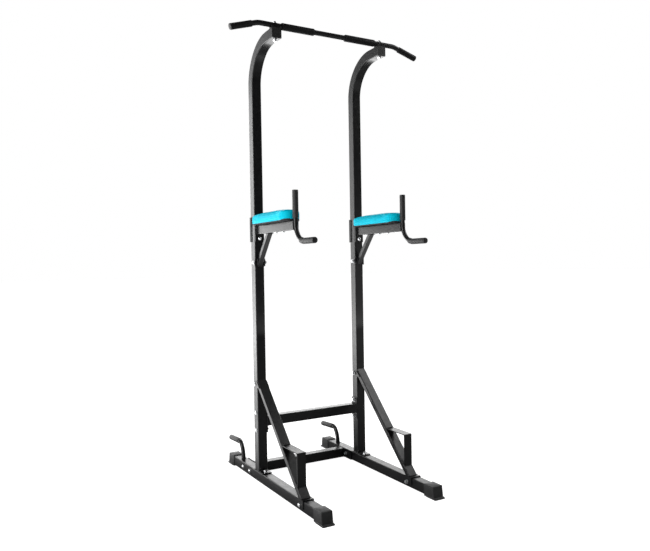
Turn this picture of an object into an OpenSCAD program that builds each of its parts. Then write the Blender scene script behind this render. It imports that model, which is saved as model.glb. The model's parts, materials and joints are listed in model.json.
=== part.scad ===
// Power tower: a free-standing frame with a pull-up bar, two padded dip arms,
// push-up steps in front and push-up handles behind.
// X runs across the tower, -Y is the side the user faces, Z is up and the floor is Z = 0.
// Lengths measured "forward" run from the centre line of the uprights towards -Y.

/* [Main frame] */
// Distance between the centre lines of the two uprights
upright_spacing = 600; // [560:10:680]
// Side of the square main tubes
main_tube = 50; // [48:1:52]
// Wall thickness of the square and flat tubes
main_wall = 1.5; // [1.5:0.5:3]
// Outer corner radius of the square and flat tubes
corner_r = 4; // [3:0.5:5]
// Thickness of the welded plates and brackets
plate_t = 5; // [4:0.5:6]

/* [Base] */
// Height of the underside of the base rails above the floor
rail_lift = 5; // [4:1:8]
// Length of a base rail forward of the uprights
rail_front = 678; // [640:2:720]
// Length of a base rail behind the uprights
rail_rear = 378; // [350:2:400]
// Centre of the lower crossbar behind the uprights
lower_bar_back = 143; // [130:1:150]
// Length of the end plates of the lower crossbar
lower_plate_len = 196; // [180:2:210]
// Centre height of the upper crossbar
upper_bar_z = 311; // [300:1:330]
// Height of the end plates of the upper crossbar
upper_plate_len = 116; // [110:2:126]
// Distance between the two bolts of every end plate
plate_bolts = 90; // [86:1:94]

/* [Rubber feet] */
// Length of a foot sleeve along the rail
foot_len = 78; // [70:1:90]
// Wall of a foot sleeve
foot_wall = 4; // [3:0.5:5]
// Height of the flared rim at the floor
foot_rim_h = 6; // [5:1:9]

/* [Uprights] */
// Height of the centre line of the forward end of an upright
upright_top_z = 2216; // [2160:2:2260]
// Centre-line radius of the bend at the top of an upright
upright_bend = 190; // [170:5:220]
// Length from the upright's centre line to the face of the plug in its forward end
upright_reach = 273; // [262:1:285]
// Height of the seam between the lower and the upper upright
seam_z = 1296; // [1290:1:1300]

/* [Braces and steps] */
// Distance in front of the uprights at which a brace's front face would reach the floor
brace_foot = 554; // [540:1:560]
// Depth of the flat brace tube
brace_depth = 25; // [22:1:28]
// Height of the bolt that ties a brace to its upright
brace_bolt_z = 504; // [496:1:508]
// Height of the top of a push-up step
step_z = 256; // [240:1:270]
// Distance of a step's front face forward of the uprights
step_front = 455; // [440:1:460]
// Width of a step
step_w = 45; // [40:1:50]
// Thickness of a step's plate
step_t = 4; // [3:0.5:5]

/* [Dip arms] */
// Height of the underside of the arm tube
arm_z = 1270; // [1266:1:1274]
// Height of the arm tube
arm_h = 45; // [40:1:48]
// Width of the arm tube
arm_w = 30; // [26:1:34]
// Height of the arm's clamp plates
clamp_h = 126; // [120:2:130]
// Distance between the two bolts of a clamp plate
clamp_bolts = 94; // [90:1:98]
// Side of the square strut under an arm
strut_w = 25; // [22:1:27]
// Tilt of a strut from upright
strut_tilt = 40; // [36:1:44]
// Height of the bolt at the foot of a strut
strut_bolt_z = 1128; // [1122:1:1134]

/* [Arm pads] */
// Width of an arm pad
pad_w = 100; // [90:2:110]
// Length of an arm pad
pad_len = 380; // [360:5:382]
// Thickness of the cushion above its board
pad_t = 43; // [38:1:48]
// Thickness of the board under a cushion
board_t = 10; // [8:1:12]
// Radius of the front corners of a pad, seen from above
pad_corner = 45; // [36:1:48]

/* [Handles] */
// Diameter of the bent handle tubes
handle_d = 22; // [20:1:24]
// Outer diameter of the grip sleeves on the handles
grip_d = 28; // [26:1:30]
// Length of every grip sleeve on the handles
grip_len = 125; // [115:1:130]
// Distance of the upright grips forward of the uprights
handle_front = 437; // [436:1:440]
// Height of the top end of the upright grips
handle_top_z = 1454; // [1440:2:1470]
// Height of the centre line of the dip grips
dip_z = 1218; // [1210:1:1225]
// Centre-line radius of a dip handle's bend
handle_bend = 85; // [76:1:90]
// Distance of the front end of the dip grips forward of the uprights
dip_reach = 616; // [606:2:618]

/* [Pull-up bar] */
// Diameter of the pull-up bar
bar_d = 25; // [24:1:28]
// Distance of the pull-up bar forward of the uprights
bar_front = 253; // [250:1:255]
// Distance from the middle of the tower to each bend of the bar
bar_bend_x = 388; // [380:2:400]
// Downward tilt of the bar's outer ends
bar_drop = 17; // [12:1:20]
// Length of each outer end beyond its bend
bar_end_len = 146; // [140:1:160]
// Outer diameter of the wide-spread inner grips
inner_grip_d = 34; // [32:1:38]
// Outer diameter of the grips on the outer ends
outer_grip_d = 30; // [28:1:32]

/* [Hidden] */
$fn = 48;

// Gap left between a sleeve or bolt and the part it passes through
fit = 0.2;
half = main_tube / 2;
side_x = upright_spacing / 2;
rail_top = rail_lift + main_tube;
rail_mid = rail_lift + half;
upright_foot_z = rail_top + plate_t;
bend_start_z = upright_top_z - upright_bend;
plug_t = 4;

bolt_d = 10;
bolt_head_d = 17;
bolt_head_h = 6;
washer_d = 20;
washer_t = 2;
nut_af = 16;
nut_h = 8;

foot_bolt_out = 27;
foot_plate_front = 72;
foot_plate_back = 30;

foot_w = main_tube + 2 * foot_wall;
foot_flare = 2;
foot_end = foot_wall + 9;
foot_rake = 8;
foot_toe = 11;
foot_rim_len = 75;

strap_t = 4;
saddle_len = 70;
saddle_y = brace_foot - rail_top - brace_depth / sqrt(2);
saddle_ear = 35;
brace_ear_h = 30;
brace_ear_inset = 10;
brace_tilt = 45;

clamp_flange = 16;
clamp_flange_t = 2.5;
pad_back = 40;
board_z = arm_z + arm_h;
pad_z = board_z + board_t;
strut_ear_h = 40;
strut_ear_back = 4;
strut_bolt_out = 12;
screw_d = 8;
screw_back = [229, 307];
seam_sleeve_len = 200;

bar_saddle_t = 3;
bar_z = upright_top_z + half + bar_saddle_t + bar_d / 2;
bar_bend_r = 100;
bar_wall = 2.5;
inner_grip_from = 90;
inner_grip_len = 175;
outer_grip_len = 112;
tip_plug_t = 3;

joint_gap = 0.4;
handle_wall = 2;
dip_straight = dip_reach - handle_front - handle_bend;
dip_grip_turn = (grip_len - dip_straight) / handle_bend * 180 / PI;
rear_handle_back = 240;
rear_lean = 42;
rear_arc_r = 108;
rear_stub = 5;
rear_bend_r = 28;
rear_droop = 3;
rear_grip_gap = 3;

// Shift that puts the middle of the whole footprint at Y = 0
rear_grip_end = rear_handle_back + rear_arc_r * (1 - cos(rear_lean))
    + rear_bend_r * (cos(rear_lean) - cos(90 + rear_droop))
    + (rear_grip_gap + grip_len + tip_plug_t) * cos(rear_droop)
    + joint_gap * (sin(rear_lean) + cos(rear_droop))
    + grip_d / 2 * sin(rear_droop);
shift_y = (rail_front + foot_end + foot_toe - rear_grip_end) / 2;

black = [0.09, 0.09, 0.10];
rubber = [0.13, 0.13, 0.14];
foam = [0.06, 0.06, 0.07];
zinc = [0.80, 0.81, 0.82];
cyan_vinyl = [0.0, 0.72, 0.85];
board_black = [0.10, 0.11, 0.12];

// ---- helpers ----

// Puts the children in the frame of the whole tower
module place() { translate([0, shift_y, 0]) children(); }

// Puts the children on the centre plane of one side, -1 for left and 1 for right
module on_side(s) { place() translate([s * side_x, 0, 0]) children(); }

// Rounded rectangle centred on the origin
module rounded_rect(w, h, r) {
    square([w - 2 * r, h], center = true);
    square([w, h - 2 * r], center = true);
    for (x = [-1, 1], y = [-1, 1])
        translate([x * (w / 2 - r), y * (h / 2 - r)]) circle(r);
}

// Section of a rectangular tube
module tube_section(w, h, wall = main_wall) {
    difference() {
        rounded_rect(w, h, corner_r);
        rounded_rect(w - 2 * wall, h - 2 * wall, corner_r - wall + 0.5);
    }
}

// Rectangular tube standing on the origin along +Z, w along X and d along Y
module post(w, d, len, wall = main_wall) { linear_extrude(len) tube_section(w, d, wall); }

// Rectangular tube from y0 to y1 along Y, centred on X and Z
module tube_y(w, h, y0, y1) {
    translate([0, y1, 0]) rotate([90, 0, 0]) linear_extrude(y1 - y0) tube_section(w, h);
}

// Cylinder centred on the origin along X, Y or Z
module rod_x(d, len) { rotate([0, 90, 0]) cylinder(d = d, h = len, center = true); }
module rod_y(d, len) { rotate([90, 0, 0]) cylinder(d = d, h = len, center = true); }

// Domed head with its washer, seat at the origin, growing along +Z
module dome_head(head_d = bolt_head_d, head_h = bolt_head_h) {
    cylinder(d = washer_d, h = washer_t);
    dome_r = (head_d * head_d / 4 + head_h * head_h) / (2 * head_h);
    translate([0, 0, washer_t]) intersection() {
        translate([0, 0, head_h - dome_r]) sphere(dome_r);
        cylinder(d = head_d, h = head_h + 1);
    }
}

// Hexagon nut with its washer and the bolt's end, seat at the origin, growing along +Z
module nut_end() {
    cylinder(d = washer_d, h = washer_t);
    translate([0, 0, washer_t]) cylinder(d = nut_af / cos(30), h = nut_h, $fn = 6);
    cylinder(d = bolt_d, h = washer_t + nut_h + 3);
}

// Bolt through a stack of thickness grip: head at +Z, nut below
module bolt(grip) {
    dome_head();
    translate([0, 0, -grip]) cylinder(d = bolt_d, h = grip + washer_t);
    translate([0, 0, -grip]) mirror([0, 0, 1]) nut_end();
}

// Bolt whose head looks along -Y
module bolt_forward(grip) { rotate([90, 0, 0]) bolt(grip); }

// Bolt whose head looks out to side s
module bolt_outward(grip, s) { rotate([0, s * 90, 0]) bolt(grip); }

// Round tube arc in the plane X = 0, starting at the origin along +Z and bending
// towards +Y by the angle a
module arc_back(d, r, a, wall) {
    translate([0, r, 0]) rotate([90, 0, -90]) rotate_extrude(angle = a)
        translate([r, 0]) ring(d, wall);
}

// Section of a round tube
module ring(d, wall) {
    difference() {
        circle(d = d);
        circle(d = d - 2 * wall);
    }
}

// Round tube along +Z
module pipe(d, len, wall) { linear_extrude(len) ring(d, wall); }

// ---- base ----

module base_rail(s) {
    color(black) on_side(s) difference() {
        translate([0, 0, rail_mid]) tube_y(main_tube, main_tube, -rail_front, rail_rear);
        for (b = [-1, 1]) translate([0, lower_bar_back + b * plate_bolts / 2, rail_mid])
            rod_x(bolt_d + 2 * fit, main_tube + 2);
        translate([0, -saddle_y, rail_mid]) rod_x(bolt_d + 2 * fit, main_tube + 2);
        translate([0, -half - foot_bolt_out, rail_top - half / 2])
            cylinder(d = bolt_d + 2 * fit, h = half);
    }
}

// Rubber sleeve foot with a raked closed end and a flared rim; f is -1 in front, 1 behind
module rubber_foot(s, f) {
    rail_end = f < 0 ? rail_front : rail_rear;
    outer_end = rail_end + foot_end;
    body_top = rail_top + foot_wall;
    color(rubber) on_side(s) facing(f) difference() {
        union() {
            rotate([90, 0, 90]) linear_extrude(foot_w, center = true)
                polygon([[outer_end - foot_len, 0], [outer_end, 0],
                    [outer_end - foot_rake, body_top], [outer_end - foot_len, body_top]]);
            translate([0, outer_end + foot_toe - foot_rim_len / 2, foot_rim_h / 2])
                rounded_slab(foot_w + 2 * foot_flare, foot_rim_len, foot_rim_h, 6);
        }
        translate([0, rail_end / 2, rail_mid])
            cube([main_tube, rail_end, main_tube], center = true);
    }
}

// Mirrors the children to the front when f is -1
module facing(f) { mirror([0, f < 0 ? 1 : 0, 0]) children(); }

// Slab with rounded upright corners, centred on the origin
module rounded_slab(w, d, h, r) {
    translate([0, 0, -h / 2]) linear_extrude(h) rounded_rect(w, d, r);
}

module lower_crossbar() {
    inner = side_x - half;
    color(black) place() translate([0, lower_bar_back, rail_mid]) difference() {
        union() {
            rotate([0, 0, 90]) tube_y(main_tube, main_tube, -inner + plate_t, inner - plate_t);
            for (s = [-1, 1]) translate([s * (inner - plate_t / 2), 0, 1])
                cube([plate_t, lower_plate_len, main_tube + 2], center = true);
        }
        for (b = [-1, 1]) translate([0, b * plate_bolts / 2, 0])
            rod_x(bolt_d + 2 * fit, upright_spacing);
    }
}

module upper_crossbar() {
    inner = side_x - half;
    color(black) place() translate([0, 0, upper_bar_z]) difference() {
        union() {
            rotate([0, 0, 90]) tube_y(main_tube, main_tube, -inner + plate_t, inner - plate_t);
            for (s = [-1, 1]) translate([s * (inner - plate_t / 2), 0, 0])
                cube([plate_t, main_tube, upper_plate_len], center = true);
        }
        for (b = [-1, 1]) translate([0, 0, b * plate_bolts / 2])
            rod_x(bolt_d + 2 * fit, upright_spacing);
    }
}

// Base plate welded under an upright, with a tongue bolted down to the rail in front
module foot_plate(s) {
    color(black) on_side(s) difference() {
        translate([-half, -foot_plate_front, rail_top])
            cube([main_tube, foot_plate_front + foot_plate_back, plate_t]);
        translate([0, -half - foot_bolt_out, rail_top - 1])
            cylinder(d = bolt_d + 2 * fit, h = plate_t + 2);
    }
}

// ---- uprights ----

module lower_upright(s) {
    color(black) on_side(s) difference() {
        translate([0, 0, upright_foot_z])
            post(main_tube, main_tube, seam_z - upright_foot_z);
        for (b = [-1, 1]) translate([0, 0, upper_bar_z + b * plate_bolts / 2])
            rod_x(bolt_d + 2 * fit, main_tube + 2);
        translate([0, 0, brace_bolt_z]) rod_x(bolt_d + 2 * fit, main_tube + 2);
        translate([0, -strut_bolt_out, strut_bolt_z]) rod_x(bolt_d + 2 * fit, main_tube + 2);
        translate([0, 0, seam_z - clamp_bolts / 2]) rod_y(bolt_d + 2 * fit, main_tube + 2);
    }
}

module upper_upright(s) {
    color(black) on_side(s) difference() {
        union() {
            translate([0, 0, seam_z]) post(main_tube, main_tube, bend_start_z - seam_z);
            translate([0, -upright_bend, bend_start_z]) rotate([90, 0, 90])
                rotate_extrude(angle = 90) translate([upright_bend, 0])
                tube_section(main_tube, main_tube);
            translate([0, 0, upright_top_z])
                tube_y(main_tube, main_tube, -upright_reach + plug_t, -upright_bend);
        }
        translate([0, 0, seam_z + clamp_bolts / 2]) rod_y(bolt_d + 2 * fit, main_tube + 2);
        translate([0, -bar_front, upright_top_z - half - 1])
            cylinder(d = bolt_d + 2 * fit, h = main_tube + 2);
    }
}

// Sleeve inside the seam between the lower and the upper upright
module seam_sleeve(s) {
    sleeve_w = main_tube - 2 * main_wall - 2 * fit;
    color(black) on_side(s) difference() {
        translate([0, 0, seam_z - seam_sleeve_len / 2])
            post(sleeve_w, sleeve_w, seam_sleeve_len);
        for (b = [-1, 1]) translate([0, 0, seam_z + b * clamp_bolts / 2])
            rod_y(bolt_d + 2 * fit, main_tube + 2);
    }
}

// Plug that closes the forward end of an upright
module upright_plug(s) {
    inside = main_tube - 2 * main_wall - 2 * fit;
    color(rubber) on_side(s) translate([0, -upright_reach, upright_top_z]) rotate([-90, 0, 0]) {
        linear_extrude(plug_t) rounded_rect(main_tube, main_tube, corner_r);
        linear_extrude(plug_t + 6) rounded_rect(inside, inside, corner_r - 1);
    }
}

// ---- braces and steps ----

// Flat tube brace with a saddle over the rail and two ears beside the upright
module brace(s) {
    mid_back = brace_depth / 2 * sqrt(2);
    ear_x = half + strap_t / 2;
    color(black) on_side(s) difference() {
        union() {
            difference() {
                translate([0, -brace_foot + mid_back, 0]) rotate([-brace_tilt, 0, 0])
                    post(main_tube, brace_depth, 2 * brace_foot);
                translate([-half - 1, -brace_foot - brace_depth, -brace_depth])
                    cube([main_tube + 2, 2 * brace_foot, rail_top + strap_t + brace_depth]);
                translate([-half - 1, -half, -1])
                    cube([main_tube + 2, 2 * brace_foot, 3 * brace_foot]);
            }
            translate([0, -saddle_y, rail_top + strap_t / 2])
                cube([main_tube + 2 * strap_t, saddle_len, strap_t], center = true);
            for (e = [-1, 1]) {
                translate([e * ear_x, -saddle_y, rail_top + strap_t / 2 - saddle_ear / 2])
                    cube([strap_t, saddle_len, saddle_ear + strap_t], center = true);
                translate([e * ear_x, 0, brace_bolt_z]) brace_ear();
            }
        }
        translate([0, -saddle_y, rail_mid]) rod_x(bolt_d + 2 * fit, 2 * main_tube);
        translate([0, 0, brace_bolt_z]) rod_x(bolt_d + 2 * fit, 2 * main_tube);
    }
}

// Strap in the plane X = 0 from a bolt hole at the origin forward along a brace's side
module brace_ear() {
    front = -brace_foot + brace_bolt_z + brace_ear_inset;
    rotate([90, 0, 90]) linear_extrude(strap_t, center = true) {
        circle(d = brace_ear_h);
        polygon([[0, brace_ear_h / 2], [front + brace_ear_h / 2, brace_ear_h / 2],
            [front - brace_ear_h / 2, -brace_ear_h / 2], [0, -brace_ear_h / 2]]);
    }
}

// Push-up step, a bent plate standing on the front face of a brace
module step(s) {
    top_y = step_z - brace_foot;
    leg_z = brace_foot - step_front;
    color(black) on_side(s) rotate([90, 0, 90]) linear_extrude(step_w, center = true)
        polygon([[-step_front, step_z], [top_y, step_z], [top_y - step_t, step_z - step_t],
            [step_t - step_front, step_z - step_t], [step_t - step_front, leg_z + step_t],
            [-step_front, leg_z]]);
}

// ---- rear handles ----

// Moves the children to the end of the rear handle's two bends, looking along its grip
module at_rear_grip() {
    translate([0, rear_handle_back, rail_top + rear_stub]) past_arc(rear_arc_r, rear_lean)
        past_arc(rear_bend_r, 90 + rear_droop - rear_lean) children();
}

// Moves the children from the start to just past the end of an arc that bends towards +Y
module past_arc(r, a) {
    translate([0, r * (1 - cos(a)), r * sin(a)]) rotate([-a, 0, 0])
        translate([0, 0, joint_gap]) children();
}

// Thin band round the start of a tube, joining it to the bend that ends just before it
module joint_band(d, wall) {
    translate([0, 0, -joint_gap / 2]) linear_extrude(2, center = true)
        ring(d + 0.4, wall + 0.4);
}

module rear_handle(s) {
    color(black) on_side(s) {
        translate([0, rear_handle_back, rail_top]) pipe(handle_d, rear_stub, handle_wall);
        translate([0, rear_handle_back, rail_top + rear_stub]) {
            arc_back(handle_d, rear_arc_r, rear_lean, handle_wall);
            past_arc(rear_arc_r, rear_lean) {
                joint_band(handle_d, handle_wall);
                arc_back(handle_d, rear_bend_r, 90 + rear_droop - rear_lean, handle_wall);
            }
        }
        at_rear_grip() {
            joint_band(handle_d, handle_wall);
            pipe(handle_d, rear_grip_gap + grip_len, handle_wall);
        }
    }
}

// Grip sleeve along +Z on a bent handle tube
module grip_sleeve(len = grip_len) {
    color(foam) pipe(grip_d, len, (grip_d - handle_d) / 2 - fit);
}

module rear_grip(s) {
    on_side(s) at_rear_grip() translate([0, 0, rear_grip_gap]) grip_sleeve();
}

// ---- dip arms ----

module arm(s) {
    color(black) on_side(s) difference() {
        union() {
            translate([0, 0, arm_z + arm_h / 2])
                tube_y(arm_w, arm_h, -handle_front, -half - plate_t);
            translate([0, -half - plate_t / 2, seam_z])
                cube([main_tube, plate_t, clamp_h], center = true);
        }
        translate([0, -handle_front, arm_z - 1]) cylinder(d = handle_d + fit, h = arm_h + 2);
        for (b = [-1, 1]) translate([0, -half, seam_z + b * clamp_bolts / 2])
            rod_y(bolt_d + 2 * fit, main_tube);
        for (y = screw_back) translate([0, -y, arm_z - 1])
            cylinder(d = screw_d + 2 * fit, h = arm_h + 2);
    }
}

// Shallow channel that clamps round the back of an upright
module arm_clamp(s) {
    flange_x = half + clamp_flange_t;
    color(black) on_side(s) difference() {
        translate([-flange_x, half - clamp_flange, seam_z - clamp_h / 2])
            cube([2 * flange_x, clamp_flange + plate_t, clamp_h]);
        translate([-half, -half, seam_z - clamp_h])
            cube([main_tube, main_tube, 2 * clamp_h]);
        for (b = [-1, 1]) translate([0, half, seam_z + b * clamp_bolts / 2])
            rod_y(bolt_d + 2 * fit, main_tube);
    }
}

// Square strut under an arm, with a bracket that wraps the front of the upright
module arm_strut(s) {
    bracket_w = main_tube + 2 * strap_t;
    bracket_back = half + strut_ear_back;
    face = half + strap_t;
    color(black) on_side(s) difference() {
        union() {
            difference() {
                translate([0, -face, strut_bolt_z]) rotate([strut_tilt, 0, 0])
                    translate([0, 0, -strut_w]) post(strut_w, strut_w, 300);
                translate([-half, -2 * main_tube - 200, arm_z]) cube([main_tube, 400, 200]);
                translate([-half, -face, strut_bolt_z - 100]) cube([main_tube, 100, 200]);
            }
            translate([-bracket_w / 2, -face, strut_bolt_z - strut_ear_h / 2])
                cube([bracket_w, face + strut_ear_back, strut_ear_h]);
        }
        translate([-half, -half, strut_bolt_z - strut_ear_h])
            cube([main_tube, bracket_back + 1, 2 * strut_ear_h]);
        translate([0, -strut_bolt_out, strut_bolt_z]) rod_x(bolt_d + 2 * fit, 2 * main_tube);
    }
}

// Plan of a pad with rounded front corners, its back edge on Y = 0, reaching to -Y
module pad_plan(w, len, r) {
    translate([-w / 2, -len + r]) square([w, len - r]);
    translate([-w / 2 + r, -len]) square([w - 2 * r, r + 1]);
    for (x = [-1, 1]) translate([x * (w / 2 - r), -len + r]) circle(r, $fn = 72);
}

module pad_board(s) {
    inset = 4;
    color(board_black) on_side(s) translate([0, -pad_back - inset, board_z]) difference() {
        linear_extrude(board_t)
            pad_plan(pad_w - 2 * inset, pad_len - 2 * inset, pad_corner - inset);
        for (y = screw_back) translate([0, pad_back + inset - y, -1])
            cylinder(d = screw_d + 2 * fit, h = board_t + 2);
    }
}

module arm_pad(s) {
    color(cyan_vinyl) on_side(s) translate([0, -pad_back, pad_z])
        linear_extrude(pad_t) pad_plan(pad_w, pad_len, pad_corner);
}

// ---- handles at the front of the arms ----

module dip_handle(s) {
    bend_z = dip_z + handle_bend;
    color(black) on_side(s) {
        translate([0, -handle_front, bend_z])
            pipe(handle_d, handle_top_z - tip_plug_t - bend_z, handle_wall);
        translate([0, -handle_front, bend_z]) rotate([180, 0, 0])
            arc_back(handle_d, handle_bend, 90, handle_wall);
        translate([0, -handle_front - handle_bend, dip_z]) rotate([90, 0, 0])
            pipe(handle_d, dip_straight, handle_wall);
    }
}

module upright_grip(s) {
    on_side(s) translate([0, -handle_front, handle_top_z - tip_plug_t - grip_len])
        grip_sleeve();
}

// Grip on the forward end of a dip handle, pushed back onto the end of its bend
module dip_grip(s) {
    grip_wall = (grip_d - handle_d) / 2 - fit;
    on_side(s) translate([0, -handle_front - handle_bend, dip_z]) rotate([90, 0, 0]) {
        grip_sleeve(dip_straight);
        color(foam) mirror([0, 0, 1]) arc_back(grip_d, handle_bend, dip_grip_turn, grip_wall);
    }
}

// ---- pull-up bar ----

// Moves the children to the end of the bar's bend on side s, looking out along the bar
module at_bar_end(s) {
    setback = bar_bend_r * tan(bar_drop / 2);
    place() translate([s * bar_bend_x, -bar_front, bar_z]) rotate([0, s * (90 + bar_drop), 0])
        translate([0, 0, setback + joint_gap]) children();
}

module pull_up_bar() {
    setback = bar_bend_r * tan(bar_drop / 2);
    straight = bar_bend_x - setback;
    color(black) difference() {
        union() {
            place() translate([0, -bar_front, bar_z]) {
                translate([joint_gap - straight, 0, 0]) rotate([0, 90, 0])
                    pipe(bar_d, 2 * (straight - joint_gap), bar_wall);
                for (s = [0, 1]) mirror([s, 0, 0]) {
                    translate([straight, 0, 0]) rotate([0, 90, 0])
                        joint_band(bar_d, bar_wall);
                    translate([straight, 0, -bar_bend_r]) rotate([90, 0, 0])
                        rotate([0, 0, 90 - bar_drop]) rotate_extrude(angle = bar_drop)
                        translate([bar_bend_r, 0]) ring(bar_d, bar_wall);
                }
            }
            for (s = [-1, 1]) at_bar_end(s) {
                joint_band(bar_d, bar_wall);
                pipe(bar_d, bar_end_len - setback, bar_wall);
            }
        }
        for (s = [-1, 1]) on_side(s) translate([0, -bar_front, bar_z - bar_d])
            cylinder(d = bolt_d + 2 * fit, h = 2 * bar_d);
    }
}

// Cradle between the bar and the top of an upright
module bar_saddle(s) {
    cradle_h = bar_saddle_t + 8;
    color(black) on_side(s) translate([0, -bar_front, upright_top_z + half]) difference() {
        translate([-22, -16, 0]) cube([44, 32, cradle_h]);
        translate([0, 0, bar_saddle_t + bar_d / 2]) rod_x(bar_d + fit, main_tube);
        translate([0, 0, -1]) cylinder(d = bolt_d + 2 * fit, h = cradle_h);
    }
}

module inner_grip(s) {
    color(foam) on_side(0) translate([s * inner_grip_from, -bar_front, bar_z])
        rotate([0, s * 90, 0])
        pipe(inner_grip_d, inner_grip_len, (inner_grip_d - bar_d) / 2 - fit);
}

module outer_grip(s) {
    setback = bar_bend_r * tan(bar_drop / 2);
    color(foam) at_bar_end(s)
        translate([0, 0, bar_end_len - setback - outer_grip_len])
        pipe(outer_grip_d, outer_grip_len, (outer_grip_d - bar_d) / 2 - fit);
}

// ---- plugs and fasteners ----

// Plug for a tube end along +Z, its face tip_plug_t beyond the tube
module end_plug(tube_d, wall, face_d) {
    inside = tube_d - 2 * wall - 2 * fit;
    cylinder(d = face_d - 3, h = tip_plug_t);
    cylinder(d = face_d, h = tip_plug_t - 1.5);
    translate([0, 0, -8]) cylinder(d = inside, h = 9);
}

module handle_plugs() {
    bar_setback = bar_bend_r * tan(bar_drop / 2);
    color(rubber) for (s = [-1, 1]) {
        on_side(s) translate([0, -handle_front, handle_top_z - tip_plug_t])
            end_plug(handle_d, handle_wall, grip_d);
        on_side(s) translate([0, -dip_reach, dip_z]) rotate([90, 0, 0])
            end_plug(handle_d, handle_wall, grip_d);
        on_side(s) at_rear_grip() translate([0, 0, rear_grip_gap + grip_len])
            end_plug(handle_d, handle_wall, grip_d);
        at_bar_end(s) translate([0, 0, bar_end_len - bar_setback])
            end_plug(bar_d, bar_wall, outer_grip_d);
    }
}

module crossbar_bolts() {
    color(zinc) for (s = [-1, 1], b = [-1, 1]) on_side(s)
        translate([s * half, 0, upper_bar_z + b * plate_bolts / 2])
        bolt_outward(main_tube + plate_t, s);
}

module rail_bolts() {
    color(zinc) for (s = [-1, 1], b = [-1, 1]) on_side(s)
        translate([s * half, lower_bar_back + b * plate_bolts / 2, rail_mid])
        bolt_outward(main_tube + plate_t, s);
}

// Hex bolts that hold the foot plates down, with their rivet nuts under the rail's top wall
module foot_plate_bolts() {
    color(zinc) for (s = [-1, 1]) on_side(s)
        translate([0, -half - foot_bolt_out, upright_foot_z]) {
            cylinder(d = washer_d, h = washer_t);
            translate([0, 0, washer_t]) cylinder(d = nut_af / cos(30), h = nut_h, $fn = 6);
            translate([0, 0, -plate_t - 20]) cylinder(d = bolt_d, h = plate_t + 20 + washer_t);
            translate([0, 0, -plate_t - main_wall - 12]) cylinder(d = 15, h = 12);
        }
}

module brace_bolts() {
    color(zinc) for (s = [-1, 1]) on_side(s)
        translate([s * (half + strap_t), 0, brace_bolt_z])
        bolt_outward(main_tube + 2 * strap_t, s);
}

module saddle_bolts() {
    color(zinc) for (s = [-1, 1]) on_side(s)
        translate([s * (half + strap_t), -saddle_y, rail_mid])
        bolt_outward(main_tube + 2 * strap_t, s);
}

module arm_bolts() {
    color(zinc) for (s = [-1, 1], b = [-1, 1]) on_side(s)
        translate([0, -half - plate_t, seam_z + b * clamp_bolts / 2])
        bolt_forward(main_tube + 2 * plate_t);
}

module strut_bolts() {
    color(zinc) for (s = [-1, 1]) on_side(s)
        translate([s * (half + strap_t), -strut_bolt_out, strut_bolt_z])
        bolt_outward(main_tube + 2 * strap_t, s);
}

module bar_bolts() {
    color(zinc) for (s = [-1, 1]) on_side(s)
        translate([0, -bar_front, bar_z + bar_d / 2])
        bolt(main_tube + bar_saddle_t + bar_d);
}

// Screws that go up through the arms into the boards under the pads
module pad_screws() {
    color(zinc) for (s = [-1, 1], y = screw_back) on_side(s) translate([0, -y, arm_z]) {
        mirror([0, 0, 1]) dome_head(14, 5);
        translate([0, 0, -washer_t]) cylinder(d = screw_d, h = washer_t + arm_h + board_t - 2);
    }
}

base_rail(-1);  // base_rail_left
base_rail(1);  // base_rail_right
rubber_foot(-1, -1);  // front_foot_left
rubber_foot(1, -1);  // front_foot_right
rubber_foot(-1, 1);  // rear_foot_left
rubber_foot(1, 1);  // rear_foot_right
lower_crossbar();
upper_crossbar();
foot_plate(-1);  // foot_plate_left
foot_plate(1);  // foot_plate_right
lower_upright(-1);  // lower_upright_left
lower_upright(1);  // lower_upright_right
upper_upright(-1);  // upper_upright_left
upper_upright(1);  // upper_upright_right
seam_sleeve(-1);  // seam_sleeve_left
seam_sleeve(1);  // seam_sleeve_right
upright_plug(-1);  // upright_plug_left
upright_plug(1);  // upright_plug_right
brace(-1);  // brace_left
brace(1);  // brace_right
step(-1);  // step_left
step(1);  // step_right
rear_handle(-1);  // rear_handle_left
rear_handle(1);  // rear_handle_right
rear_grip(-1);  // rear_grip_left
rear_grip(1);  // rear_grip_right
arm(-1);  // arm_left
arm(1);  // arm_right
arm_clamp(-1);  // arm_clamp_left
arm_clamp(1);  // arm_clamp_right
arm_strut(-1);  // arm_strut_left
arm_strut(1);  // arm_strut_right
pad_board(-1);  // pad_board_left
pad_board(1);  // pad_board_right
arm_pad(-1);  // arm_pad_left
arm_pad(1);  // arm_pad_right
dip_handle(-1);  // dip_handle_left
dip_handle(1);  // dip_handle_right
upright_grip(-1);  // upright_grip_left
upright_grip(1);  // upright_grip_right
dip_grip(-1);  // dip_grip_left
dip_grip(1);  // dip_grip_right
pull_up_bar();
bar_saddle(-1);  // bar_saddle_left
bar_saddle(1);  // bar_saddle_right
inner_grip(-1);  // inner_grip_left
inner_grip(1);  // inner_grip_right
outer_grip(-1);  // outer_grip_left
outer_grip(1);  // outer_grip_right
handle_plugs();
crossbar_bolts();
rail_bolts();
foot_plate_bolts();
brace_bolts();
saddle_bolts();
arm_bolts();
strut_bolts();
bar_bolts();
pad_screws();
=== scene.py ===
"""Power tower: the finishes, soft parts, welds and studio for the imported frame."""
import json
import math

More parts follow.
